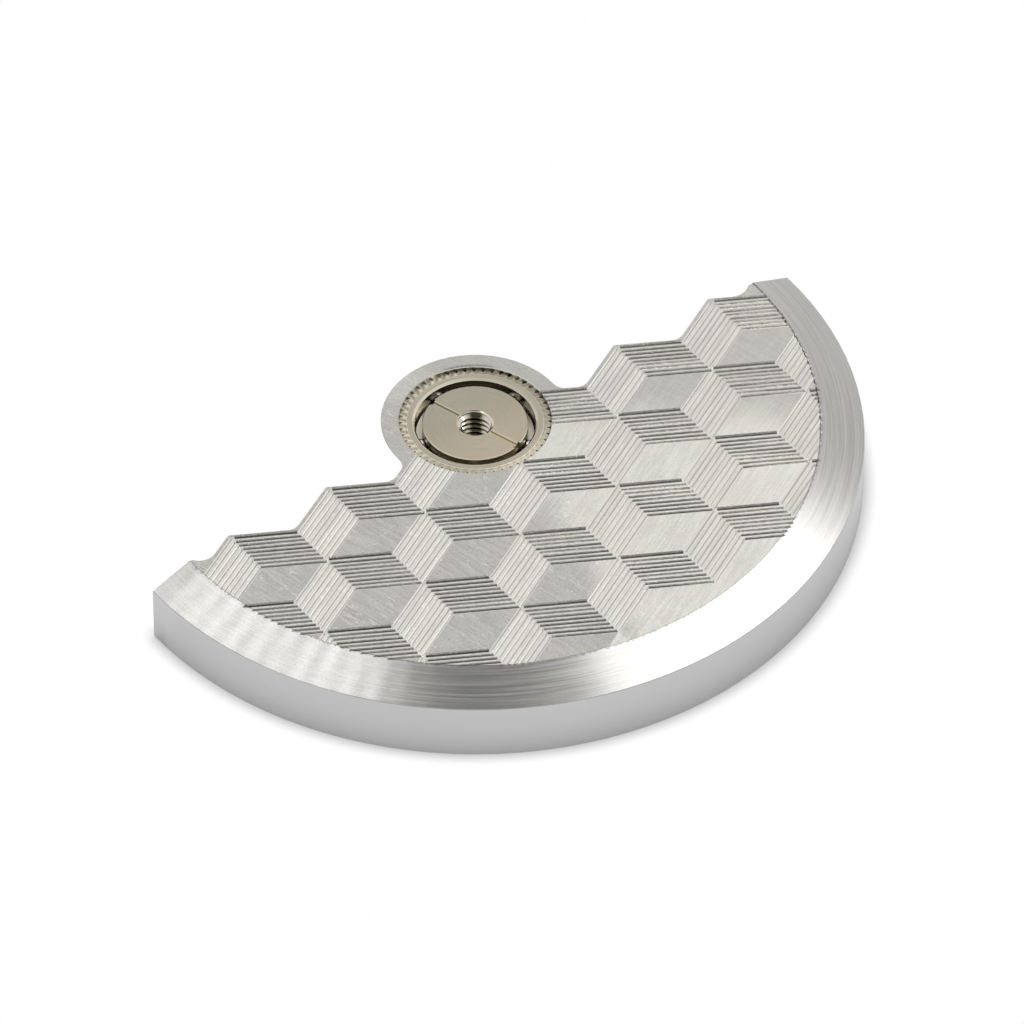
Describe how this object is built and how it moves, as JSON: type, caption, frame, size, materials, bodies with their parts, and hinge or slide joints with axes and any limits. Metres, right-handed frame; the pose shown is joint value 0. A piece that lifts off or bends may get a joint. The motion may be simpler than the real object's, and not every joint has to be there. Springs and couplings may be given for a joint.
{
  "type": "automatic watch rotor",
  "caption": "Half-round winding weight with an engraved plate and a heavy rim, turning on a slotted, threaded ball bearing with a winding gear.",
  "frame": {"origin": "bearing axis, in the plane of the core's foot that stands on the movement", "axes": "+Z along the bearing axis, out of the movement towards the engraved face; the weight hangs towards -Y and its straight side runs along X"},
  "size_m": [0.025, 0.0155, 0.0025],
  "materials": {
    "engraved_plate": "straight brushed, engraved with bright-cut grooves",
    "heavy_alloy_rim": "circular brushed slope, satin wall",
    "bearing_ring": "fine turned, warm nickel tone",
    "core": "fine satin, polished edges and thread",
    "gear_brass": "fine turned",
    "cage_steel": "fine turned, warm nickel tone",
    "balls": "polished"
  },
  "bodies": {
    "core": {"core_upper_race": "core", "core_lower_race": "core"},
    "weight": {"weight_plate": "engraved_plate", "heavy_rim": "heavy_alloy_rim", "bearing_outer_ring": "bearing_ring", "winding_gear": "gear_brass"},
    "cage": {"ball_cage": "cage_steel"},
    "ball_1": {"ball_1": "balls"},
    "ball_2": {"ball_2": "balls"},
    "ball_3": {"ball_3": "balls"},
    "ball_4": {"ball_4": "balls"},
    "ball_5": {"ball_5": "balls"}
  },
  "joints": [
    {"name": "rotor_spin", "type": "hinge", "parent": "core", "child": "weight", "pos_m": [0, 0, 0.001], "axis": [0, 0, 1], "continuous": true},
    {"name": "cage_orbit", "type": "hinge", "parent": "core", "child": "cage", "pos_m": [0, 0, 0.001], "axis": [0, 0, 1], "continuous": true},
    {"name": "ball_1_spin", "type": "hinge", "parent": "cage", "child": "ball_1", "pos_m": [0.0017, 0.00055, 0.001], "axis": [0, 0, 1], "continuous": true},
    {"name": "ball_2_spin", "type": "hinge", "parent": "cage", "child": "ball_2", "pos_m": [0, 0.00179, 0.001], "axis": [0, 0, 1], "continuous": true},
    {"name": "ball_3_spin", "type": "hinge", "parent": "cage", "child": "ball_3", "pos_m": [-0.0017, 0.00055, 0.001], "axis": [0, 0, 1], "continuous": true},
    {"name": "ball_4_spin", "type": "hinge", "parent": "cage", "child": "ball_4", "pos_m": [-0.00105, -0.00145, 0.001], "axis": [0, 0, 1], "continuous": true},
    {"name": "ball_5_spin", "type": "hinge", "parent": "cage", "child": "ball_5", "pos_m": [0.00105, -0.00145, 0.001], "axis": [0, 0, 1], "continuous": true}
  ],
  "couplings": [
    {"joint": "cage_orbit", "follows": "rotor_spin", "ratio": 0.55135},
    {"joint": "ball_1_spin", "follows": "rotor_spin", "ratio": 4.8168},
    {"joint": "ball_2_spin", "follows": "rotor_spin", "ratio": 4.8168},
    {"joint": "ball_3_spin", "follows": "rotor_spin", "ratio": 4.8168},
    {"joint": "ball_4_spin", "follows": "rotor_spin", "ratio": 4.8168},
    {"joint": "ball_5_spin", "follows": "rotor_spin", "ratio": 4.8168}
  ]
}
